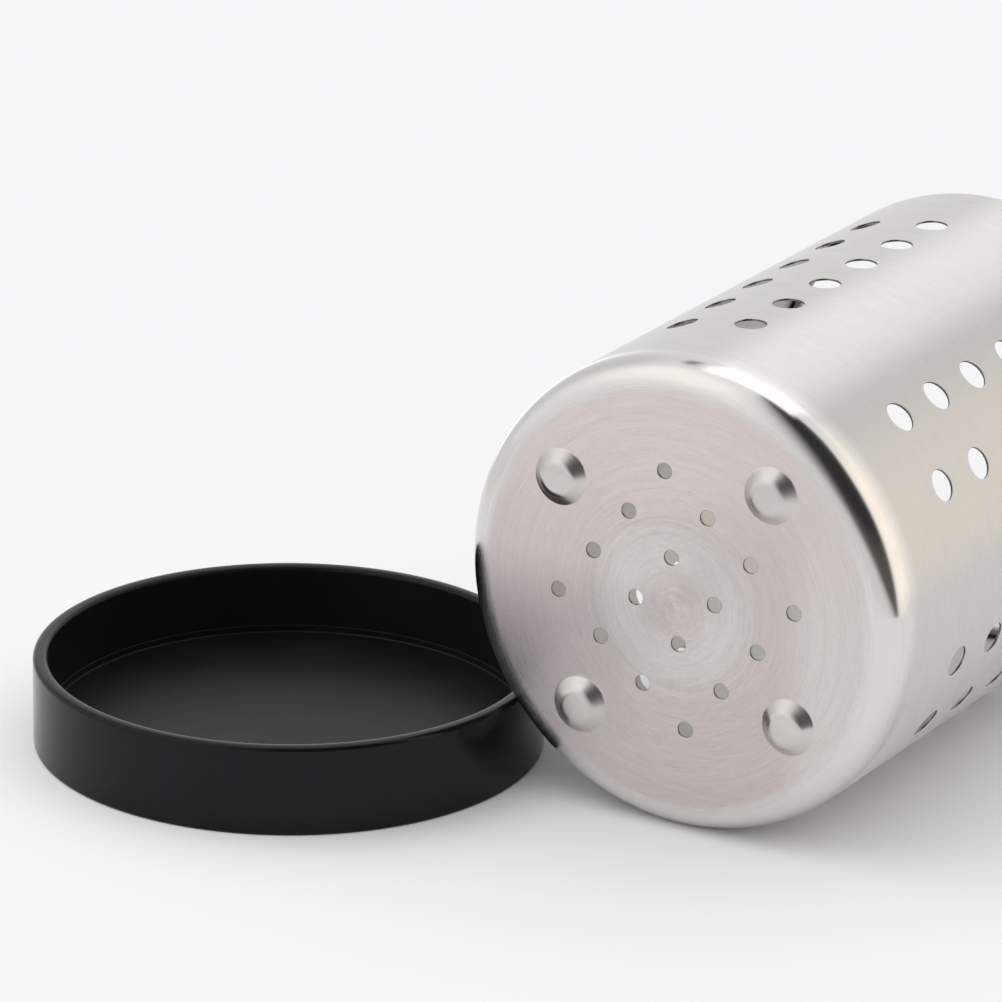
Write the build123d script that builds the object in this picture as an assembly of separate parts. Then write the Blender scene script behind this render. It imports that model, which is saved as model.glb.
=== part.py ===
from build123d import *
import math
import os

# A drawn, punched steel canister lies on its side against its moulded drip tray.
# Millimetres. The tray stands on z = 0 about the origin. The canister's axis runs along +Y,
# with its base towards -Y and its open mouth towards +Y.

# Canister shell
CANISTER_RADIUS = 60.0
CANISTER_LENGTH = 160.0
SHEET = 0.6
CORNER_RADIUS = 8.5
BEAD_RADIUS = 1.6
BEAD_TURN = 270.0

# Drain holes, a square grid in the base
DRAIN_BORE = 4.0
DRAIN_PITCH = 15.4
DRAINS_PER_SIDE = 4

# Feet, studs pressed out of the base between the grid and the corner
FOOT_HEIGHT = 3.1
FOOT_TIP = 3.0
FOOT_CROWN = 30.0
FOOT_SHOULDER = 3.3
FOOT_SLOPE = 42.5
FOOT_BLEND = 0.85
FOOT_CIRCLE = 41.0
FOOT_COUNT = 4

# Vent holes, groups of twin columns up the wall
VENT_BORE = 8.0
VENT_ROWS = 6
VENT_PITCH = 18.7
FIRST_VENT = 36.1
FIRST_GROUP_ANGLE = 13.1
GROUP_ANGLES = (0.0, 62.0, 119.0, 175.5, 237.0, 298.0)
COLUMN_ANGLE = 18.5

# Drip tray
TRAY_CLEARANCE = 0.3
TRAY_WALL = 3.7
TRAY_FLOOR = 5.0
TRAY_HEIGHT = 23.0
LIP_ROUND = 1.2
HEEL_ROUND = 0.8
LEDGE_WIDTH = 0.4
LEDGE_RISE = 1.9
FLOOR_ROUND = 0.5

# How the canister lies beside the tray
LYING_GAP = 0.3
BASE_OFFSET = -1.0
LYING_SPIN = -51.5

# Ends of a section's stretches nearer than this are one point
JOIN = 1e-6

tray_bore_radius = CANISTER_RADIUS + TRAY_CLEARANCE
tray_radius = tray_bore_radius + TRAY_WALL
cutter_length = 4 * SHEET


def arc(centre, radius, start, end):
    """A round stretch of a section; its angles are in degrees from the outward direction."""
    turns = [math.radians(turn) for turn in (start, (start + end) / 2, end)]
    points = [(centre[0] + radius * math.cos(turn), centre[1] + radius * math.sin(turn)) for turn in turns]
    return ThreePointArc(*points)


def turned(stretches):
    """The solid that a closed section makes when it turns about Z. Straight lines join its stretches."""
    section = list(stretches)
    for stretch, after in zip(stretches, stretches[1:] + stretches[:1]):
        if (stretch @ 1 - after @ 0).length > JOIN:
            section.append(Line(stretch @ 1, after @ 0))
    return revolve(Plane.XZ * make_face(section), Axis.Z)


def shell_of_revolution():
    """Drawn cup: flat base, round corner, straight wall and a bead curled inwards at the mouth."""
    corner = (CANISTER_RADIUS - CORNER_RADIUS, CORNER_RADIUS)
    bead = (CANISTER_RADIUS - BEAD_RADIUS, CANISTER_LENGTH - BEAD_RADIUS)
    return turned([
        arc(corner, CORNER_RADIUS, -90, 0),
        arc(bead, BEAD_RADIUS, 0, BEAD_TURN),
        arc(bead, BEAD_RADIUS - SHEET, BEAD_TURN, 0),
        arc(corner, CORNER_RADIUS - SHEET, 0, -90),
        Line((0, SHEET), (0, 0)),
    ])


def foot_centres():
    """Where the crown, the shoulder and the blend of a foot's outer skin are centred, as (radius, height)."""
    tip_turn = math.asin(FOOT_TIP / FOOT_CROWN)
    slope = math.radians(FOOT_SLOPE)
    crown_height = FOOT_CROWN - FOOT_HEIGHT
    shoulder_radius = FOOT_TIP - FOOT_SHOULDER * math.sin(tip_turn)
    shoulder_height = crown_height - (FOOT_CROWN - FOOT_SHOULDER) * math.cos(tip_turn)
    flank_rise = FOOT_SHOULDER * math.cos(slope) - shoulder_height - FOOT_BLEND * (1 - math.cos(slope))
    rounded = (FOOT_SHOULDER + FOOT_BLEND) * math.sin(slope)
    blend_radius = shoulder_radius + rounded + flank_rise / math.tan(slope)
    return (0, crown_height), (shoulder_radius, shoulder_height), (blend_radius, -FOOT_BLEND)


def pressed_foot():
    """One hollow foot: a slightly crowned tip, a round shoulder, a straight flank and a concave blend."""
    crown, shoulder, blend = foot_centres()
    tip_end = math.degrees(math.asin(FOOT_TIP / FOOT_CROWN)) - 90
    flank = FOOT_SLOPE - 90
    return turned([
        arc(crown, FOOT_CROWN, -90, tip_end),
        arc(shoulder, FOOT_SHOULDER, tip_end, flank),
        arc(blend, FOOT_BLEND, flank + 180, 90),
        arc(blend, FOOT_BLEND + SHEET, 90, flank + 180),
        arc(shoulder, FOOT_SHOULDER - SHEET, flank, tip_end),
        arc(crown, FOOT_CROWN - SHEET, tip_end, -90),
    ])


def canister():
    """The whole canister, upright: base on z = 0, mouth up."""
    shell = shell_of_revolution()
    feet = PolarLocations(FOOT_CIRCLE, FOOT_COUNT)
    foot_radius = foot_centres()[-1][0]
    shell -= [place * Cylinder(foot_radius, cutter_length) for place in feet]
    shell += [place * pressed_foot() for place in feet]

    grid = GridLocations(DRAIN_PITCH, DRAIN_PITCH, DRAINS_PER_SIDE, DRAINS_PER_SIDE)
    cutters = [place * Cylinder(DRAIN_BORE / 2, cutter_length) for place in grid]
    for group_angle in GROUP_ANGLES:
        for side in (-0.5, 0.5):
            angle = FIRST_GROUP_ANGLE + group_angle + side * COLUMN_ANGLE
            for row in range(VENT_ROWS):
                place = Rot(Z=angle) * Pos(CANISTER_RADIUS, 0, FIRST_VENT + row * VENT_PITCH) * Rot(Y=90)
                cutters.append(place * Cylinder(VENT_BORE / 2, cutter_length))
    return shell - cutters


def drip_tray():
    """Round moulded tray: rounded lip and heel, a ledge low on the wall and a flat floor."""
    ledge_radius = tray_bore_radius - LEDGE_WIDTH
    ledge_height = TRAY_FLOOR + LEDGE_RISE
    lip_height = TRAY_HEIGHT - LIP_ROUND
    return turned([
        arc((tray_radius - HEEL_ROUND, HEEL_ROUND), HEEL_ROUND, -90, 0),
        arc((tray_radius - LIP_ROUND, lip_height), LIP_ROUND, 0, 90),
        arc((tray_bore_radius + LIP_ROUND, lip_height), LIP_ROUND, 90, 180),
        Line((tray_bore_radius, ledge_height), (ledge_radius, ledge_height)),
        arc((ledge_radius - FLOOR_ROUND, TRAY_FLOOR + FLOOR_ROUND), FLOOR_ROUND, 0, -90),
        Line((0, TRAY_FLOOR), (0, 0)),
    ])


def lying_place():
    """Where the canister lies: on its wall, LYING_GAP clear of the widest line of the tray's lip."""
    lip_widest = TRAY_HEIGHT - LIP_ROUND
    half_chord = math.sqrt(CANISTER_RADIUS**2 - (CANISTER_RADIUS - lip_widest) ** 2)
    return Pos(tray_radius + LYING_GAP + half_chord, BASE_OFFSET, CANISTER_RADIUS)


os.makedirs("parts", exist_ok=True)
export_step(drip_tray(), "parts/drip_tray.step")
export_step(lying_place() * Rot(Y=LYING_SPIN) * Rot(X=-90) * canister(), "parts/canister.step")
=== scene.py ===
"""A drawn and punched steel canister lying beside its black moulded drip tray."""

import math
from itertools import product

import bpy
from mathutils import Matrix, Vector
from mathutils.geometry import delaunay_2d_cdt


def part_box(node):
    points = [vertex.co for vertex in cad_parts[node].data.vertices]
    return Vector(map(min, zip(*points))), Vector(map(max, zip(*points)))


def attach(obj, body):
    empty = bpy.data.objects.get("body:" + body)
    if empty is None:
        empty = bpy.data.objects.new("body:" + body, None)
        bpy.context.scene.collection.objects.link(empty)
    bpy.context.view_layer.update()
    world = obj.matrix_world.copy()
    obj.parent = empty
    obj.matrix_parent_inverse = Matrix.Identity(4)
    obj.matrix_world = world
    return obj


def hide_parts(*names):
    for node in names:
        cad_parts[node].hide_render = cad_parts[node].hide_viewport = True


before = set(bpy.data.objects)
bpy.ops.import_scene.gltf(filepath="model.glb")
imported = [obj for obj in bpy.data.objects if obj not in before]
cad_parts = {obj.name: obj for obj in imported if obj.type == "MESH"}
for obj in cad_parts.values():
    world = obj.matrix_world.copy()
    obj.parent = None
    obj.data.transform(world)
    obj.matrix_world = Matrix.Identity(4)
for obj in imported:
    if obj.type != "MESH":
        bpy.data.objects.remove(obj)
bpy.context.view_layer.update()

MM = 0.001

# Camera, solved from the photograph's outlines and rows of holes
CAMERA_TARGET = (0.01149, 0.08257, 0.0401)
CAMERA_DISTANCE = 1.7433
CAMERA_AZIMUTH = 30.94
CAMERA_ELEVATION = 20.10
CAMERA_ROLL = 0.855
CAMERA_LENS = 242.78
SENSOR_WIDTH = 36.0

# Canister; its radius and length come from the frame's box
SHEET = 0.6 * MM
CORNER_RADIUS = 8.5 * MM
BEAD_RADIUS = 1.6 * MM
BEAD_TURN = 270.0
DRAIN_BORE = 4.0 * MM
DRAIN_PITCH = 15.4 * MM
DRAINS_PER_SIDE = 4
FOOT_HEIGHT = 3.1 * MM
FOOT_TIP = 3.0 * MM
FOOT_CROWN = 30.0 * MM
FOOT_SHOULDER = 3.3 * MM
FOOT_SLOPE = 42.5
FOOT_BLEND = 0.85 * MM
FOOT_CIRCLE = 41.0 * MM
FOOT_COUNT = 4
VENT_BORE = 8.0 * MM
VENT_ROWS = 6
VENT_PITCH = 18.7 * MM
FIRST_VENT = 36.1 * MM
FIRST_GROUP_ANGLE = 13.1
GROUP_ANGLES = (0.0, 62.0, 119.0, 175.5, 237.0, 298.0)
COLUMN_ANGLE = 18.5
LYING_SPIN = -51.5
PUNCH_ROLL = 0.22 * MM

# Drip tray; its radius and height come from the frame's box
TRAY_WALL = 3.7 * MM
TRAY_FLOOR = 5.0 * MM
LIP_ROUND = 1.2 * MM
LIP_CROWN = 12.0  # degrees that the top of the lip falls away on each side
HEEL_ROUND = 0.8 * MM
LEDGE_WIDTH = 0.4 * MM
LEDGE_RISE = 1.9 * MM
LEDGE_ROUND = 0.2 * MM
FLOOR_ROUND = 0.5 * MM

# How finely the meshes are cut
SHELL_STEPS = 192
TRAY_STEPS = 240
WALL_ROWS = 40
VENT_STEPS = 48
DRAIN_STEPS = 28
FOOT_STEPS = 56
CORNER_STEPS = 32
BEAD_STEPS = 24
ROLL_STEPS = 4
FOOT_CROWN_STEPS = 3
FOOT_SHOULDER_STEPS = 10
FOOT_BLEND_STEPS = 6
HEEL_STEPS = 6
LIP_STEPS = 10
LIP_CROWN_STEPS = 6
LEDGE_STEPS = 4
FLOOR_STEPS = 12
VENT_MARGIN = 0.6 * MM  # how far the wall's own points keep from a vent
SEAM_ANGLE = FIRST_GROUP_ANGLE + 31.0  # where the flat wall's ends meet, between two groups of vents

# Points nearer than the first are one point; the second is the grid that they are looked up in
WELD = 1e-7
WELD_GRID = 1e-6


# ---------------------------------------------------------------- meshes


class Skin:
    """Faces that share welded points and keep their own normal at every corner."""

    def __init__(self):
        self.points = []
        self.found = {}
        self.faces = []
        self.normals = []

    def point(self, place):
        """The number of the point at a place, which every grid square within WELD of it also gives."""
        key = tuple(math.floor(value / WELD_GRID) for value in place)
        if key not in self.found:
            self.found[key] = len(self.points)
            self.points.append(tuple(place))
            sides = [{math.floor((value + shift) / WELD_GRID) for shift in (-WELD, WELD)} for value in place]
            for near in product(*sides):
                self.found.setdefault(near, self.found[key])
        return self.found[key]

    def face(self, corners):
        """Adds one face from (place, normal) pairs, turned to face along its normals."""
        kept = []
        for place, normal in corners:
            index = self.point(place)
            if index not in [known for known, _, _ in kept]:
                kept.append((index, Vector(place), Vector(normal)))
        if len(kept) < 3:
            return
        across = (kept[1][1] - kept[0][1]).cross(kept[2][1] - kept[0][1])
        if across.dot(sum((normal for _, _, normal in kept), Vector())) < 0:
            kept.reverse()
        self.faces.append([index for index, _, _ in kept])
        self.normals.extend(tuple(normal) for _, _, normal in kept)

    def strips(self, rows):
        """Quads between each closed row of (place, normal) pairs and the next."""
        for first, second in zip(rows, rows[1:]):
            for k in range(len(first)):
                after = (k + 1) % len(first)
                self.face([first[k], first[after], second[after], second[k]])

    def build(self, name, material, place=Matrix()):
        """The finished object at the origin, with its mesh moved to its place."""
        turn = place.to_3x3()
        mesh = bpy.data.meshes.new(name)
        mesh.from_pydata([place @ Vector(point) for point in self.points], [], self.faces)
        mesh.materials.append(material)
        mesh.polygons.foreach_set("use_smooth", [True] * len(self.faces))
        mesh.normals_split_custom_set([turn @ Vector(normal) for normal in self.normals])
        mesh.update()
        piece = bpy.data.objects.new(name, mesh)
        bpy.context.scene.collection.objects.link(piece)
        return piece


def turned(radius, height, outward, upward, angle):
    """A (place, normal) pair on a surface of revolution about Z."""
    c, s = math.cos(angle), math.sin(angle)
    return (radius * c, radius * s, height), (outward * c, outward * s, upward)


def arc(centre, radius, start, end, steps, flip=1):
    """Profile points (radius, height, outward, upward) round an arc, angles in degrees from outward."""
    points = []
    for k in range(steps + 1):
        angle = math.radians(start + (end - start) * k / steps)
        c, s = math.cos(angle), math.sin(angle)
        points.append((centre[0] + radius * c, centre[1] + radius * s, flip * c, flip * s))
    return points


def straight(start, end):
    """Profile points of a straight line, with its normal to the right of the way it runs."""
    along = Vector((end[0] - start[0], end[1] - start[1])).normalized()
    return [(*start, along.y, -along.x), (*end, along.y, -along.x)]


def revolve(skin, profile, angles):
    """Turns a profile about Z. Only its direct neighbours share a face, so a repeated point is a crease."""
    skin.strips([[turned(*point, angle) for angle in angles] for point in profile])


def revolve_at(skin, profile, steps, centre):
    """Turns a profile about a line along Z through a centre on the base."""
    rows = []
    for point in profile:
        row = []
        for angle in ring_angles(steps):
            (x, y, z), normal = turned(*point, angle)
            row.append(((x + centre[0], y + centre[1], z), normal))
        rows.append(row)
    skin.strips(rows)


def ring_angles(count, start=0.0):
    """Angles evenly round a full turn, in radians."""
    return [start + math.tau * k / count for k in range(count)]


def clear_of(radius, steps):
    """How far from a round outline's centre the middles of the triangles inside it stay within: they end
    short of its edges' middles, and those of the triangles outside it start beyond them."""
    step = math.tau / steps
    return radius * ((1 + 2 * math.cos(step)) / 3 + math.cos(step / 2)) / 2


def triangulate(loops, extra, holes):
    """Triangles of a flat region: loops are closed outlines, extra loose points, holes (centre, reach)."""
    points, edges = [], []
    for loop in loops:
        first = len(points)
        points.extend(loop)
        edges.extend((first + k, first + (k + 1) % len(loop)) for k in range(len(loop)))
    points.extend(extra)
    flat, _, triangles, _, _, _ = delaunay_2d_cdt([Vector(p) for p in points], edges, [], 0, 1e-9)
    kept = []
    for triangle in triangles:
        middle = sum((flat[k] for k in triangle), Vector((0, 0))) / 3
        if all((middle - Vector(centre)).length > reach for centre, reach in holes):
            kept.append([flat[k] for k in triangle])
    return kept


def circle(centre, radius, steps):
    """The corners of a round outline."""
    return [
        (centre[0] + radius * math.cos(angle), centre[1] + radius * math.sin(angle))
        for angle in ring_angles(steps)
    ]


# ---------------------------------------------------------------- canister


def drain_places():
    """(x, y) of every drain hole in the base."""
    half = (DRAINS_PER_SIDE - 1) / 2
    return [
        ((column - half) * DRAIN_PITCH, (row - half) * DRAIN_PITCH)
        for column in range(DRAINS_PER_SIDE)
        for row in range(DRAINS_PER_SIDE)
    ]


def foot_places():
    """(x, y) of every foot."""
    return [
        (FOOT_CIRCLE * math.cos(angle), FOOT_CIRCLE * math.sin(angle))
        for angle in ring_angles(FOOT_COUNT)
    ]


def vent_places():
    """(angle, height) of every vent in the wall."""
    return [
        (math.radians(FIRST_GROUP_ANGLE + group + side * COLUMN_ANGLE), FIRST_VENT + row * VENT_PITCH)
        for group in GROUP_ANGLES
        for side in (-0.5, 0.5)
        for row in range(VENT_ROWS)
    ]


def base_skin(skin, radius, corner_angles):
    """The flat base outside and inside, its feet and its drain holes."""
    edge = radius - CORNER_RADIUS
    outline = [(edge * math.cos(angle), edge * math.sin(angle)) for angle in corner_angles]
    feet, drains = foot_places(), drain_places()
    for height, up, bore in ((0.0, -1.0, DRAIN_BORE / 2 + PUNCH_ROLL), (SHEET, 1.0, DRAIN_BORE / 2)):
        loops = [outline]
        loops += [circle(place, foot_radius(), FOOT_STEPS) for place in feet]
        loops += [circle(place, bore, DRAIN_STEPS) for place in drains]
        holes = [(place, clear_of(foot_radius(), FOOT_STEPS)) for place in feet]
        holes += [(place, clear_of(bore, DRAIN_STEPS)) for place in drains]
        for triangle in triangulate(loops, [], holes):
            skin.face([((p.x, p.y, height), (0.0, 0.0, up)) for p in triangle])
    for place in drains:
        punched_drain(skin, place)
    for place in feet:
        pressed_foot(skin, place)


def punched_drain(skin, place):
    """The rolled edge and the wall of one drain hole."""
    bore = DRAIN_BORE / 2
    profile = arc((bore + PUNCH_ROLL, PUNCH_ROLL), PUNCH_ROLL, 270, 180, ROLL_STEPS)
    revolve_at(skin, profile + [(bore, SHEET, -1.0, 0.0)], DRAIN_STEPS, place)


def foot_profile(depth):
    """Section of a foot from tip to base: crown, shoulder, flank and blend, depth inside the sheet."""
    tip_turn = math.asin(FOOT_TIP / FOOT_CROWN)
    slope = math.radians(FOOT_SLOPE)
    crown = (0.0, FOOT_CROWN - FOOT_HEIGHT)
    shoulder = (
        FOOT_TIP - FOOT_SHOULDER * math.sin(tip_turn),
        crown[1] - (FOOT_CROWN - FOOT_SHOULDER) * math.cos(tip_turn),
    )
    rise = FOOT_SHOULDER * math.cos(slope) - shoulder[1] - FOOT_BLEND * (1 - math.cos(slope))
    blend = (
        shoulder[0] + (FOOT_SHOULDER + FOOT_BLEND) * math.sin(slope) + rise / math.tan(slope),
        -FOOT_BLEND,
    )
    tip_end, flank = math.degrees(tip_turn) - 90, FOOT_SLOPE - 90
    side = -1 if depth else 1
    return (
        arc(crown, FOOT_CROWN - depth, -90, tip_end, FOOT_CROWN_STEPS, side)
        + arc(shoulder, FOOT_SHOULDER - depth, tip_end, flank, FOOT_SHOULDER_STEPS, side)[1:]
        + arc(blend, FOOT_BLEND + depth, flank + 180, 90, FOOT_BLEND_STEPS, -side)
    )


def foot_radius():
    """Where a foot meets the flat of the base."""
    return foot_profile(0.0)[-1][0]


def pressed_foot(skin, place):
    """One hollow foot, outside and inside."""
    for depth in (0.0, SHEET):
        revolve_at(skin, foot_profile(depth), FOOT_STEPS, place)


def on_wall(radius, angle, height, side):
    """A (place, normal) pair on the wall, facing out (side 1) or in (side -1)."""
    c, s = math.cos(angle), math.sin(angle)
    return (radius * c, radius * s, height), (side * c, side * s, 0.0)


def vent_loop(radius, bore, vent):
    """A vent's edge on the wall as (angle, height) points: a cylinder cut square to the wall."""
    angle, height = vent
    return [
        (angle + math.asin(bore * math.cos(t) / radius), height + bore * math.sin(t))
        for t in ring_angles(VENT_STEPS)
    ]


def wall_sheet(skin, radius, bore, low, high, side, angles):
    """The wall outside (side 1) or inside (side -1), as triangles round the vents."""
    start = angles[0]
    vents = [((angle - start) % math.tau + start, height) for angle, height in vent_places()]
    columns = angles + [start + math.tau]
    rows = [low + (high - low) * k / WALL_ROWS for k in range(WALL_ROWS + 1)]
    extra = []
    for row in rows:
        for column in columns:
            away = [math.hypot((column - angle) * radius, row - height) for angle, height in vents]
            if min(away) > bore + VENT_MARGIN:
                extra.append((column * radius, row))
    loops = [[(a * radius, h) for a, h in vent_loop(radius, bore, vent)] for vent in vents]
    holes = [((angle * radius, height), clear_of(bore, VENT_STEPS)) for angle, height in vents]
    for triangle in triangulate(loops, extra, holes):
        skin.face([on_wall(radius, p.x / radius, p.y, side) for p in triangle])


def punched_vent(skin, radius, vent):
    """The rolled edge and the wall of one vent."""
    bore = VENT_BORE / 2
    angle, height = vent
    out = Vector((math.cos(angle), math.sin(angle), 0.0))
    around = Vector((-math.sin(angle), math.cos(angle), 0.0))
    rows = []
    for k in range(ROLL_STEPS + 1):
        turn = math.radians(90 * k / ROLL_STEPS)
        wide = bore + PUNCH_ROLL * (1 - math.sin(turn))
        sunk = PUNCH_ROLL * (1 - math.cos(turn))
        row = []
        for t in ring_angles(VENT_STEPS):
            spread = wide * math.cos(t)
            depth = math.sqrt(radius**2 - spread**2) - sunk
            place = out * depth + around * spread + Vector((0, 0, height + wide * math.sin(t)))
            inward = -(around * math.cos(t) + Vector((0, 0, math.sin(t))))
            skyward = (out * depth + around * spread).normalized()
            row.append((place, (skyward * math.cos(turn) + inward * math.sin(turn)).normalized()))
        rows.append(row)
    inner = radius - SHEET
    last = []
    for (place, normal), t in zip(rows[-1], ring_angles(VENT_STEPS)):
        spread = bore * math.cos(t)
        depth = math.sqrt(inner**2 - spread**2)
        last.append((out * depth + around * spread + Vector((0, 0, place[2])), normal))
    skin.strips(rows + [last])


def canister_skin(radius, length):
    """The whole canister in its own upright frame: base on z = 0, mouth up."""
    skin = Skin()
    angles = ring_angles(SHELL_STEPS, math.radians(SEAM_ANGLE))
    corner = (radius - CORNER_RADIUS, CORNER_RADIUS)
    inner, bead_start = radius - SHEET, length - BEAD_RADIUS
    base_skin(skin, radius, angles)
    revolve(skin, arc(corner, CORNER_RADIUS, 270, 360, CORNER_STEPS), angles)
    revolve(skin, arc(corner, CORNER_RADIUS - SHEET, 270, 360, CORNER_STEPS, -1), angles)
    wall_sheet(skin, radius, VENT_BORE / 2 + PUNCH_ROLL, CORNER_RADIUS, bead_start, 1, angles)
    wall_sheet(skin, inner, VENT_BORE / 2, CORNER_RADIUS, bead_start, -1, angles)
    for vent in vent_places():
        punched_vent(skin, radius, vent)
    curl = (radius - BEAD_RADIUS, bead_start)
    outside = arc(curl, BEAD_RADIUS, 0, BEAD_TURN, BEAD_STEPS)
    inside = arc(curl, BEAD_RADIUS - SHEET, 0, BEAD_TURN, BEAD_STEPS, -1)
    revolve(skin, outside, angles)
    revolve(skin, inside, angles)
    revolve(skin, straight(inside[-1][:2], outside[-1][:2]), angles)
    return skin


# ---------------------------------------------------------------- tray


def tray_profile(radius, height):
    """The tray's outline, from the middle of its underside round to the middle of its floor."""
    bore = radius - TRAY_WALL
    ledge, ledge_top = bore - LEDGE_WIDTH, TRAY_FLOOR + LEDGE_RISE
    heel = (radius - HEEL_ROUND, HEEL_ROUND)
    tilt = math.radians(LIP_CROWN)
    crown = (TRAY_WALL / 2 - LIP_ROUND) / math.sin(tilt) + LIP_ROUND
    lip_height = height - crown + (crown - LIP_ROUND) * math.cos(tilt)
    lip_top = (bore + TRAY_WALL / 2, height - crown)
    sweep = (ledge - FLOOR_ROUND, TRAY_FLOOR + FLOOR_ROUND)
    return (
        straight((0, 0), (heel[0], 0))
        + arc(heel, HEEL_ROUND, -90, 0, HEEL_STEPS)
        + arc((radius - LIP_ROUND, lip_height), LIP_ROUND, 0, 90 - LIP_CROWN, LIP_STEPS)
        + arc(lip_top, crown, 90 - LIP_CROWN, 90 + LIP_CROWN, LIP_CROWN_STEPS)[1:]
        + arc((bore + LIP_ROUND, lip_height), LIP_ROUND, 90 + LIP_CROWN, 180, LIP_STEPS)[1:]
        + [(bore, ledge_top, -1.0, 0.0)]
        + straight((bore, ledge_top), (ledge + LEDGE_ROUND, ledge_top))
        + arc((ledge + LEDGE_ROUND, ledge_top - LEDGE_ROUND), LEDGE_ROUND, 90, 180, LEDGE_STEPS)
        + arc(sweep, FLOOR_ROUND, 0, -90, FLOOR_STEPS, -1)
        + [(0, TRAY_FLOOR, 0.0, 1.0)]
    )


def tray_mesh(radius, height, material):
    """The whole tray, standing on z = 0."""
    skin = Skin()
    revolve(skin, tray_profile(radius, height), ring_angles(TRAY_STEPS))
    return skin.build("moulded_tray", material)


# ---------------------------------------------------------------- shading helpers


def fresh_material(name):
    material = bpy.data.materials.new(name)
    material.use_nodes = True
    return material, material.node_tree


def add(tree, kind, **settings):
    node = tree.nodes.new(kind)
    for key, value in settings.items():
        setattr(node, key, value)
    return node


def feed(tree, socket, value):
    """Links an output to a socket, or sets the socket's own value."""
    if isinstance(value, bpy.types.NodeSocket):
        tree.links.new(value, socket)
    else:
        socket.default_value = value


def calc(tree, operation, *values):
    node = add(tree, "ShaderNodeMath", operation=operation)
    for socket, value in zip(node.inputs, values):
        feed(tree, socket, value)
    return node.outputs[0]


def smooth(tree, value, low, high, start=0.0, end=1.0):
    """A smooth step of value from low to high, giving start to end."""
    node = add(tree, "ShaderNodeMapRange", interpolation_type="SMOOTHSTEP")
    keys = ("Value", "From Min", "From Max", "To Min", "To Max")
    for key, given in zip(keys, (value, low, high, start, end)):
        feed(tree, node.inputs[key], given)
    return node.outputs["Result"]


def window(tree, value, low, high, feather):
    """1 between low and high, with soft edges."""
    rise = smooth(tree, value, low - feather, low + feather)
    fall = smooth(tree, value, high + feather, high - feather)
    return calc(tree, "MULTIPLY", rise, fall)


def mix(tree, factor, first, second, blend="MIX"):
    node = add(tree, "ShaderNodeMix", data_type="RGBA", blend_type=blend)
    feed(tree, node.inputs["Factor"], factor)
    feed(tree, node.inputs["A"], first)
    feed(tree, node.inputs["B"], second)
    return [out for out in node.outputs if out.type == "RGBA"][0]


def noise(tree, vector, scale, detail=2.0, roughness=0.5):
    node = add(tree, "ShaderNodeTexNoise")
    feed(tree, node.inputs["Vector"], vector)
    feed(tree, node.inputs["Scale"], scale)
    feed(tree, node.inputs["Detail"], detail)
    feed(tree, node.inputs["Roughness"], roughness)
    return node.outputs["Fac"]


def blend_value(tree, factor, first, second):
    node = add(tree, "ShaderNodeMix", data_type="FLOAT")
    for key, value in zip(("Factor", "A", "B"), (factor, first, second)):
        feed(tree, node.inputs[key], value)
    return node.outputs[0]


def bump(tree, height, distance):
    node = add(tree, "ShaderNodeBump")
    feed(tree, node.inputs["Height"], height)
    feed(tree, node.inputs["Distance"], distance)
    return node.outputs[0]


def split_up(tree, vector):
    node = add(tree, "ShaderNodeSeparateXYZ")
    feed(tree, node.inputs[0], vector)
    return node.outputs


def combine(tree, x, y, z):
    node = add(tree, "ShaderNodeCombineXYZ")
    for socket, value in zip(node.inputs, (x, y, z)):
        feed(tree, socket, value)
    return node.outputs[0]


def rgba(colour):
    return (*colour, 1.0)


# ---------------------------------------------------------------- steel


WALL_STEEL = (0.700, 0.690, 0.675)
BASE_STEEL = (0.610, 0.548, 0.530)
# Painted light: the base's colour made lighter towards its right as the canister lies
BASE_STEEL_PAINTED_LIGHT_RIGHT = (0.690, 0.645, 0.625)
# Painted light: the base's colour made lighter towards its top as the canister lies
BASE_STEEL_PAINTED_LIGHT_TOP = (0.725, 0.655, 0.625)
BASE_STEEL_MIDDLE = (0.662, 0.628, 0.604)
INNER_STEEL = (0.640, 0.625, 0.605)
CUT_STEEL = (0.300, 0.295, 0.300)
CORNER_STEEL = (0.735, 0.715, 0.690)
FOOT_STEEL = (0.650, 0.628, 0.600)
BASE_ROUGH = 0.29
CORNER_ROUGH = 0.12
WALL_ROUGH = 0.40
FOOT_ROUGH = 0.27
ROUGH_WAVER = 0.025
GRAIN_SHADE = (0.94, 1.055)
GRAIN_DEPTH = 0.003 * MM

# Fine lines and broad bands of the brushing, per millimetre across it
WALL_BRUSH = (3.4, 0.5)
BASE_BRUSH = (2.6, 0.45)
BRUSH_BREAKS = 7.0  # the more, the shorter a brush line runs round the axis
LINE_SHARE = 0.75

# The rings turned into the middle of the base, and how strong their marks are
SWIRL_OFFSET = (-1.0 * MM, 0.7 * MM)
SWIRL_RADIUS = 20.0 * MM
SWIRL_BREAKS = 1.1
MARKS_AT_CENTRE = 0.36
MARKS_WITHIN = 0.20
MARKS_AT_RIM = 0.14
MARKS_OUTSIDE = 0.12

# Where one finish gives way to the next, (from, to) in millimetres
WALL_FINISH = (4.5, 14.0)  # height: the wall's brushing
BASE_FINISH = (1.6, 0.0)  # height: the base's rings
CORNER_TINT = (-0.5, 2.5)  # past the edge of the flat base: the corner's colour
CORNER_POLISH = (0.5, 7.0)  # past the edge of the flat base: the corner's polish
WALL_GRAIN = (1.5, 8.0)  # height: the grain's colour
WALL_RELIEF = (5.0, 12.0)  # height: the grain's relief
FOOT_FINISH = (0.0, -0.35)  # height: the pressed feet

# Where the base's painted light blends in, making it lighter towards its right and its top as it lies,
# (from, to) in millimetres
RIGHT_PAINTED_LIGHT = (44.0, 64.0)  # along x + RIGHT_SLOPE * y
RIGHT_SLOPE = 1.26
TOP_PAINTED_LIGHT = (-10.0, 48.0)  # along the way that points up as the canister lies
TOP_WAY = (0.783, 0.622)  # sine and cosine of LYING_SPIN's turn


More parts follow.
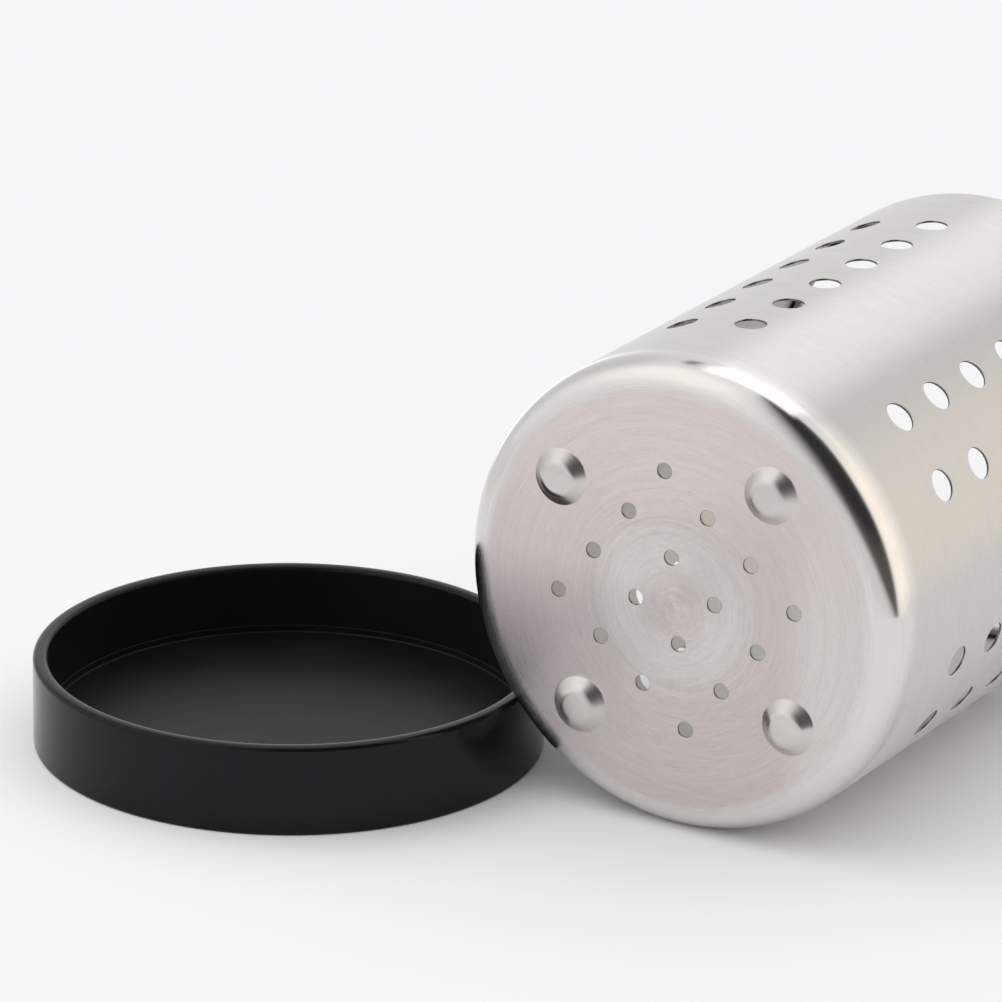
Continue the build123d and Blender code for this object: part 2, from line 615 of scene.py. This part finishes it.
def own_coordinates(tree, place):
    """Coordinates in the canister's own upright frame, with millimetres as units."""
    mapping = add(tree, "ShaderNodeMapping", vector_type="TEXTURE")
    feed(tree, mapping.inputs["Vector"], add(tree, "ShaderNodeTexCoord").outputs["Object"])
    feed(tree, mapping.inputs["Location"], place.translation)
    feed(tree, mapping.inputs["Rotation"], place.to_euler())
    feed(tree, mapping.inputs["Scale"], (MM, MM, MM))
    return split_up(tree, mapping.outputs[0])


def around_axis(tree, x, y):
    """(radius, cosine, sine) of a place about the axis."""
    squares = calc(tree, "ADD", calc(tree, "MULTIPLY", x, x), calc(tree, "MULTIPLY", y, y))
    radius = calc(tree, "SQRT", squares)
    safe = calc(tree, "MAXIMUM", radius, 0.01)
    return radius, calc(tree, "DIVIDE", x, safe), calc(tree, "DIVIDE", y, safe)


def brushed_grain(tree, turning, across, brush):
    """Brush lines that run round the axis: streaks long in their turning and thin across it."""
    fine, broad = brush
    cosine, sine = (calc(tree, "MULTIPLY", value, BRUSH_BREAKS) for value in turning)
    lines = noise(tree, combine(tree, cosine, sine, calc(tree, "MULTIPLY", across, fine)), 1.0, 3.0, 0.7)
    bands = noise(tree, combine(tree, cosine, sine, calc(tree, "MULTIPLY", across, broad)), 1.0, 2.0)
    lines = calc(tree, "MULTIPLY", lines, LINE_SHARE)
    return calc(tree, "ADD", lines, calc(tree, "MULTIPLY", bands, 1.0 - LINE_SHARE))


def lathe_marks(tree, turning, radius):
    """Broken rings left by turning: close at the centre, wide about the swirl's rim, faint elsewhere."""
    cosine, sine = (calc(tree, "MULTIPLY", value, SWIRL_BREAKS) for value in turning)
    fine = noise(tree, combine(tree, cosine, sine, calc(tree, "MULTIPLY", radius, 1.3)), 1.0, 2.0, 0.6)
    broad = noise(tree, combine(tree, cosine, sine, calc(tree, "MULTIPLY", radius, 0.5)), 1.0, 1.0)
    marks = calc(tree, "SUBTRACT", calc(tree, "ADD", fine, calc(tree, "MULTIPLY", broad, 0.6)), 0.8)
    rim = SWIRL_RADIUS / MM
    centre = smooth(tree, radius, 0.45 * rim, 0.1 * rim, MARKS_WITHIN, MARKS_AT_CENTRE)
    band = window(tree, radius, 0.85 * rim, 1.25 * rim, 0.15 * rim)
    strength = calc(tree, "ADD", centre, calc(tree, "MULTIPLY", band, MARKS_AT_RIM))
    strength = blend_value(tree, smooth(tree, radius, rim, 1.6 * rim), strength, MARKS_OUTSIDE)
    return calc(tree, "MULTIPLY", marks, strength)


def ringed_tint_and_painted_light(tree, x, y, radius):
    """The base's colour: painted light makes it lighter towards its right and its top as it lies; its own
    tone in the turned middle.
    """
    # Painted light: lighter towards the base's right
    right = smooth(tree, calc(tree, "MULTIPLY_ADD", y, RIGHT_SLOPE, x), *RIGHT_PAINTED_LIGHT)
    tint = mix(tree, right, rgba(BASE_STEEL), rgba(BASE_STEEL_PAINTED_LIGHT_RIGHT))
    # Painted light: lighter towards the base's top as the canister lies
    up_x, up_y = (calc(tree, "MULTIPLY", value, share) for value, share in zip((x, y), TOP_WAY))
    top = smooth(tree, calc(tree, "SUBTRACT", up_x, up_y), *TOP_PAINTED_LIGHT)
    tint = mix(tree, top, tint, rgba(BASE_STEEL_PAINTED_LIGHT_TOP))
    rim = SWIRL_RADIUS / MM
    middle = window(tree, radius, 0.45 * rim, 1.02 * rim, 4.0)
    return mix(tree, middle, tint, rgba(BASE_STEEL_MIDDLE))


def sheet_depth(tree, reach, height, edge):
    """Two factors by depth in the sheet: 1 on its inside face, and 1 on the cut walls of its holes."""
    outward = calc(tree, "MAXIMUM", calc(tree, "SUBTRACT", reach, edge), 0.0)
    downward = calc(tree, "MAXIMUM", calc(tree, "SUBTRACT", CORNER_RADIUS / MM, height), 0.0)
    from_corner, _, _ = around_axis(tree, outward, downward)

    def at(share):
        return (CORNER_RADIUS - share * SHEET) / MM

    inside = smooth(tree, from_corner, at(0.35), at(0.65))
    cut = window(tree, from_corner, at(0.85), at(0.25), 0.06)
    return inside, cut


def canister_steel(place, outer_radius):
    """One sheet of steel: ringed on the base, polished over the corner, brushed round the wall."""
    material, tree = fresh_material("canister_steel")
    shader = tree.nodes["Principled BSDF"]
    x, y, height = own_coordinates(tree, place)
    base_x = calc(tree, "SUBTRACT", x, SWIRL_OFFSET[0] / MM)
    base_y = calc(tree, "SUBTRACT", y, SWIRL_OFFSET[1] / MM)
    radius, cosine, sine = around_axis(tree, base_x, base_y)
    reach, wall_cosine, wall_sine = around_axis(tree, x, y)

    brushing = brushed_grain(tree, (wall_cosine, wall_sine), height, WALL_BRUSH)
    rings = brushed_grain(tree, (cosine, sine), radius, BASE_BRUSH)
    swirl = lathe_marks(tree, (cosine, sine), radius)
    on_wall_area = smooth(tree, height, *WALL_FINISH)
    on_base = smooth(tree, height, *BASE_FINISH)
    dome = smooth(tree, height, *FOOT_FINISH)
    grain = blend_value(tree, on_wall_area, rings, brushing)

    edge = (outer_radius - CORNER_RADIUS) / MM
    corner = smooth(tree, reach, *(edge + past for past in CORNER_TINT))
    # The base's colour carries painted light, lighter towards its right and top as it lies
    tint = mix(tree, corner, ringed_tint_and_painted_light(tree, x, y, radius), rgba(CORNER_STEEL))
    tint = mix(tree, on_wall_area, tint, rgba(WALL_STEEL))
    tint = mix(tree, dome, tint, rgba(FOOT_STEEL))
    brushed = calc(tree, "MAXIMUM", on_base, smooth(tree, height, *WALL_GRAIN))
    bare = calc(tree, "MULTIPLY", brushed, calc(tree, "SUBTRACT", 1.0, dome))
    shade = blend_value(tree, bare, 1.0, smooth(tree, grain, 0.3, 0.7, *GRAIN_SHADE))
    shade = calc(tree, "MULTIPLY", shade, calc(tree, "MULTIPLY_ADD", swirl, on_base, 1.0))
    tint = mix(tree, 1.0, tint, combine(tree, shade, shade, shade), "MULTIPLY")
    inside, cut = sheet_depth(tree, reach, height, edge)
    tint = mix(tree, inside, tint, rgba(INNER_STEEL))
    tint = mix(tree, cut, tint, rgba(CUT_STEEL))

    polish = smooth(tree, reach, *(edge + past for past in CORNER_POLISH))
    rough = blend_value(tree, polish, BASE_ROUGH, CORNER_ROUGH)
    rough = blend_value(tree, on_wall_area, rough, WALL_ROUGH)
    rough = blend_value(tree, dome, rough, FOOT_ROUGH)
    wavering = smooth(tree, grain, 0.3, 0.7, -ROUGH_WAVER, ROUGH_WAVER)
    rough = calc(tree, "MULTIPLY_ADD", wavering, bare, rough)
    feed(tree, shader.inputs["Roughness"], rough)

    shader.inputs["Metallic"].default_value = 1.0
    shader.inputs["Anisotropic"].default_value = 0.9
    shader.inputs["Anisotropic Rotation"].default_value = 0.25
    tangent = add(tree, "ShaderNodeTangent", direction_type="RADIAL", axis="Y")
    feed(tree, shader.inputs["Tangent"], tangent.outputs[0])
    feed(tree, shader.inputs["Base Color"], tint)
    relief = calc(tree, "MULTIPLY", grain, smooth(tree, height, *WALL_RELIEF))
    feed(tree, shader.inputs["Normal"], bump(tree, relief, GRAIN_DEPTH))
    return material


# ---------------------------------------------------------------- black plastic


TRAY_BLACK = (0.0062, 0.0060, 0.0068)
TRAY_SCUFF = (0.016, 0.016, 0.018)
TRAY_OUTSIDE = 61.1 * MM  # beyond this radius the plastic is glossier
TRAY_ROUGH_OUTSIDE = 0.14
TRAY_ROUGH_INSIDE = 0.40
TRAY_IOR = 1.28
MOULD_DEPTH = 0.003 * MM
MOULD_SCALE = 2600.0
CLOUD_SCALE = 60.0
CLOUD_SHADE = (0.85, 1.15)
CLOUD_WAVER = 0.02
SCUFF_SCALE = 900.0
SCUFF_RARITY = (0.66, 0.74)
SCUFF_SHARE = 0.5


def moulded_black():
    """Satin black plastic: a fine moulded texture, faint scuffs and a smoother wall outside."""
    material, tree = fresh_material("satin_black_plastic")
    shader = tree.nodes["Principled BSDF"]
    place = add(tree, "ShaderNodeTexCoord").outputs["Object"]
    x, y, _ = split_up(tree, place)
    reach, _, _ = around_axis(tree, x, y)
    cloud = noise(tree, place, CLOUD_SCALE, 3.0)
    grain = noise(tree, place, MOULD_SCALE, 2.0)
    scuffs = smooth(tree, noise(tree, place, SCUFF_SCALE, 4.0, 0.75), *SCUFF_RARITY)
    shade = smooth(tree, cloud, 0.3, 0.7, *CLOUD_SHADE)
    colour = mix(tree, 1.0, rgba(TRAY_BLACK), combine(tree, shade, shade, shade), "MULTIPLY")
    colour = mix(tree, calc(tree, "MULTIPLY", scuffs, SCUFF_SHARE), colour, rgba(TRAY_SCUFF))
    feed(tree, shader.inputs["Base Color"], colour)
    inside = smooth(tree, reach, TRAY_OUTSIDE, TRAY_OUTSIDE - 0.5 * MM)
    rough = blend_value(tree, inside, TRAY_ROUGH_OUTSIDE, TRAY_ROUGH_INSIDE)
    rough = calc(tree, "ADD", rough, smooth(tree, cloud, 0.3, 0.7, -CLOUD_WAVER, CLOUD_WAVER))
    feed(tree, shader.inputs["Roughness"], rough)
    feed(tree, shader.inputs["Normal"], bump(tree, grain, MOULD_DEPTH))
    shader.inputs["IOR"].default_value = TRAY_IOR
    shader.inputs["Specular Tint"].default_value = (0.95, 0.95, 1.0, 1.0)
    return material


# ---------------------------------------------------------------- studio


FLOOR_COLOUR = (0.93, 0.93, 0.938)
BACKDROP = (0.921, 0.921, 0.935)
FLOOR_RADIUS = 0.42
FLOOR_MIDDLE = (0.10, 0.04)
FLOOR_SIDES = 96
FADE_START = 0.08
FADE_END = 0.38

# The lamp: a big soft panel high on the left, which reflections don't see, and the plain ambient light
LAMP_AZIMUTH = -58.0
LAMP_ELEVATION = 50.0
LAMP_DISTANCE = 1.6
LAMP_SIDE = 1.7
LAMP_SHARE = 0.16
AMBIENT_LOW = 0.66
AMBIENT_HIGH = 1.03
AMBIENT_RISE = (5.0, 60.0)

# What reflections see
STUDIO_WHITE = (0.93, 0.935, 0.94)
TABLE_WHITE = (0.83, 0.825, 0.83)
FRONT_WHITE = (1.24, 1.22, 1.19)
LEFT_GREY = (0.74, 0.75, 0.76)
BACK_WHITE = (1.30, 1.30, 1.31)
FAR_WHITE = (1.80, 1.80, 1.86)
WARM_SIDE = (1.32, 1.22, 1.11)
DARK_GAP = (0.026, 0.025, 0.027)
DARK_GAP_FOOT = (0.105, 0.095, 0.086)
DIM_STRIP = (0.30, 0.29, 0.28)
SOFTBOX_WHITE = (1.45, 1.44, 1.45)

# Where they see it, in degrees: (from, to) with a third value where both ends are soft by that much
HORIZON = (-1.5, 1.5)
FRONT_AREA = ((-76.0, -14.0, 14.0), (24.0, 66.0, 16.0))  # azimuth, then elevation
LEFT_AREA = ((-132.0, -92.0, 10.0), (-6.0, 50.0, 10.0))
WARM_AREA = ((90.0, 156.0, 14.0), (-12.0, 50.0, 14.0))
BACK_AZIMUTH = (-148.0, -160.0)
BACK_ELEVATION = (22.0, 40.0, 6.0)
FAR_AZIMUTH = (-176.0, -124.0, 10.0)
FAR_ELEVATION = (12.0, -12.0)

# The dark gap: its lower edge (slope, start) falls as azimuth grows, and its far side leans out high up
GAP_FOOT = (4.0, 26.0)
GAP_LEFT = (-10.0, 32.0)
GAP_RIGHT = (93.0, 82.0)
GAP_LEAN = (40.0, 66.0, 0.0, 10.0)
GAP_EDGE = (-0.36, 16.5)
GAP_EDGE_SOFT = 5.0
GAP_TOP = (88.0, 82.0)

# The overhead softbox and a dim strip beside it, as shares of their height: (from, to, softness)
SOFTBOX_ACROSS = (-0.40, 0.28, 0.04)
SOFTBOX_ALONG = (-0.10, 1.05, 0.04)
STRIP_ACROSS = (-0.59, -0.48, 0.04)
STRIP_ALONG = (0.16, 0.55, 0.12)


def direction(azimuth, elevation):
    """A unit vector; azimuth 0 is towards -Y and 90 towards +X, in degrees."""
    a, e = math.radians(azimuth), math.radians(elevation)
    return Vector((math.sin(a) * math.cos(e), -math.cos(a) * math.cos(e), math.sin(e)))


def place_camera():
    """The camera, at the photograph's viewing angle."""
    data = bpy.data.cameras.new("camera")
    data.lens = CAMERA_LENS
    data.sensor_width = SENSOR_WIDTH
    data.sensor_fit = "HORIZONTAL"
    data.clip_start = 0.05
    data.clip_end = 50.0
    camera = bpy.data.objects.new("camera", data)
    bpy.context.scene.collection.objects.link(camera)
    back = direction(CAMERA_AZIMUTH, CAMERA_ELEVATION)
    level = Vector((0, 0, 1)).cross(back).normalized()
    roll = math.radians(CAMERA_ROLL)
    right = level * math.cos(roll) + back.cross(level) * math.sin(roll)
    up = back.cross(right)
    turn = Matrix((right, up, back)).transposed().to_4x4()
    camera.matrix_world = Matrix.Translation(Vector(CAMERA_TARGET) + back * CAMERA_DISTANCE) @ turn
    bpy.context.scene.camera = camera


def seen(tree):
    """1 on camera, glossy and transmission rays, 0 on those that only carry light."""
    path = add(tree, "ShaderNodeLightPath")
    rays = calc(tree, "MAXIMUM", path.outputs["Is Camera Ray"], path.outputs["Is Glossy Ray"])
    return calc(tree, "MAXIMUM", rays, path.outputs["Is Transmission Ray"])


def lay_floor():
    """A pale round floor that keeps the object's shadow and fades into the backdrop at its edge."""
    middle_x, middle_y = FLOOR_MIDDLE
    rim = [
        (middle_x + FLOOR_RADIUS * math.cos(angle), middle_y + FLOOR_RADIUS * math.sin(angle), 0.0)
        for angle in ring_angles(FLOOR_SIDES)
    ]
    mesh = bpy.data.meshes.new("floor")
    mesh.from_pydata(rim, [], [range(FLOOR_SIDES)])
    floor = bpy.data.objects.new("floor", mesh)
    bpy.context.scene.collection.objects.link(floor)
    material, tree = fresh_material("studio_floor")
    mesh.materials.append(material)
    tree.nodes.remove(tree.nodes["Principled BSDF"])
    out = tree.nodes["Material Output"]
    paint = add(tree, "ShaderNodeBsdfDiffuse")
    feed(tree, paint.inputs["Color"], rgba(FLOOR_COLOUR))
    glow = add(tree, "ShaderNodeEmission")
    feed(tree, glow.inputs["Color"], rgba(BACKDROP))
    x, y, _ = split_up(tree, add(tree, "ShaderNodeTexCoord").outputs["Object"])
    x = calc(tree, "SUBTRACT", x, middle_x)
    y = calc(tree, "SUBTRACT", y, middle_y)
    away, _, _ = around_axis(tree, x, y)
    blend = add(tree, "ShaderNodeMixShader")
    fade = smooth(tree, away, FADE_START, FADE_END)
    feed(tree, blend.inputs[0], calc(tree, "MULTIPLY", fade, seen(tree)))
    tree.links.new(paint.outputs[0], blend.inputs[1])
    tree.links.new(glow.outputs[0], blend.inputs[2])
    tree.links.new(blend.outputs[0], out.inputs["Surface"])


def hang_lamp():
    """The one lamp. Its share is what it adds to the open floor, as a part of white."""
    data = bpy.data.lights.new("lamp", "AREA")
    data.shape = "SQUARE"
    data.size = LAMP_SIDE
    way = direction(LAMP_AZIMUTH, LAMP_ELEVATION)
    reach = LAMP_SIDE**2 * way.z / (math.pi * LAMP_DISTANCE**2)
    data.energy = LAMP_SHARE / reach * math.pi * LAMP_SIDE**2
    lamp = bpy.data.objects.new("lamp", data)
    bpy.context.scene.collection.objects.link(lamp)
    turn = way.to_track_quat("Z", "Y").to_matrix().to_4x4()
    lamp.matrix_world = Matrix.Translation(way * LAMP_DISTANCE) @ turn
    lamp.visible_glossy = False


def paint_world():
    """White for the camera; for reflections a white studio with a dark gap, a warm side and a softbox."""
    world = bpy.data.worlds.new("studio")
    bpy.context.scene.world = world
    world.use_nodes = True
    tree = world.node_tree
    shader = tree.nodes["Background"]
    x, y, z = split_up(tree, add(tree, "ShaderNodeTexCoord").outputs["Generated"])
    degrees = 180.0 / math.pi
    azimuth = calc(tree, "MULTIPLY", calc(tree, "ARCTAN2", x, calc(tree, "MULTIPLY", y, -1.0)), degrees)
    elevation = calc(tree, "MULTIPLY", calc(tree, "ARCSINE", z), degrees)

    def both(first, second):
        return calc(tree, "MULTIPLY", first, second)

    def area(turn, height):
        return both(window(tree, azimuth, *turn), window(tree, elevation, *height))

    studio = mix(tree, smooth(tree, elevation, *HORIZON), rgba(TABLE_WHITE), rgba(STUDIO_WHITE))
    back = both(smooth(tree, azimuth, *BACK_AZIMUTH), window(tree, elevation, *BACK_ELEVATION))
    far_table = both(window(tree, azimuth, *FAR_AZIMUTH), smooth(tree, elevation, *FAR_ELEVATION))
    for colour, shape in (
        (FRONT_WHITE, area(*FRONT_AREA)),
        (LEFT_GREY, area(*LEFT_AREA)),
        (BACK_WHITE, back),
        (FAR_WHITE, far_table),
        (WARM_SIDE, area(*WARM_AREA)),
    ):
        studio = mix(tree, shape, studio, rgba(colour))

    gap = mix(tree, smooth(tree, elevation, *GAP_FOOT), rgba(DARK_GAP_FOOT), rgba(DARK_GAP))
    lean = smooth(tree, elevation, *GAP_LEAN)
    right = smooth(tree, calc(tree, "SUBTRACT", azimuth, lean), *GAP_RIGHT)
    sides = both(smooth(tree, azimuth, *GAP_LEFT), right)
    rise = calc(tree, "SUBTRACT", elevation, calc(tree, "MULTIPLY_ADD", azimuth, *GAP_EDGE))
    ends = both(smooth(tree, rise, -GAP_EDGE_SOFT, GAP_EDGE_SOFT), smooth(tree, elevation, *GAP_TOP))
    studio = mix(tree, both(sides, ends), studio, gap)

    height = calc(tree, "MAXIMUM", z, 0.01)
    across, along = calc(tree, "DIVIDE", x, height), calc(tree, "DIVIDE", y, height)
    above = smooth(tree, z, 0.02, 0.1)
    for colour, sideways, lengthways in (
        (DIM_STRIP, STRIP_ACROSS, STRIP_ALONG),
        (SOFTBOX_WHITE, SOFTBOX_ACROSS, SOFTBOX_ALONG),
    ):
        shape = both(window(tree, across, *sideways), window(tree, along, *lengthways))
        studio = mix(tree, both(shape, above), studio, rgba(colour))

    path = add(tree, "ShaderNodeLightPath")
    ambient = smooth(tree, elevation, *AMBIENT_RISE, AMBIENT_LOW, AMBIENT_HIGH)
    shown = mix(tree, path.outputs["Is Glossy Ray"], combine(tree, ambient, ambient, ambient), studio)
    plain = calc(tree, "MAXIMUM", path.outputs["Is Camera Ray"], path.outputs["Is Transmission Ray"])
    feed(tree, shader.inputs["Color"], mix(tree, plain, shown, rgba(BACKDROP)))


# ---------------------------------------------------------------- assembly


def canister_place():
    """The canister's own frame in the row frame: its X and Y turned about the axis, which runs along +Y."""
    low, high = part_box("canister")
    spin = math.radians(-LYING_SPIN)
    first = Vector((math.cos(spin), 0.0, math.sin(spin)))
    axis = Vector((0.0, 1.0, 0.0))
    second = axis.cross(first)
    origin = Vector(((low.x + high.x) / 2, low.y + FOOT_HEIGHT, (low.z + high.z) / 2))
    return Matrix.Translation(origin) @ Matrix((first, second, axis)).transposed().to_4x4()


def add_canister():
    low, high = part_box("canister")
    radius = (high.z - low.z) / 2
    length = high.y - low.y - FOOT_HEIGHT
    place = canister_place()
    piece = canister_skin(radius, length).build("punched_canister", canister_steel(place, radius), place)
    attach(piece, "canister")
    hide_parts("canister")


def add_tray():
    low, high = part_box("drip_tray")
    piece = tray_mesh((high.x - low.x) / 2, high.z - low.z, moulded_black())
    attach(piece, "tray")
    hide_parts("drip_tray")


bpy.context.scene.view_settings.view_transform = "Standard"
place_camera()
paint_world()
hang_lamp()
lay_floor()
add_tray()
add_canister()
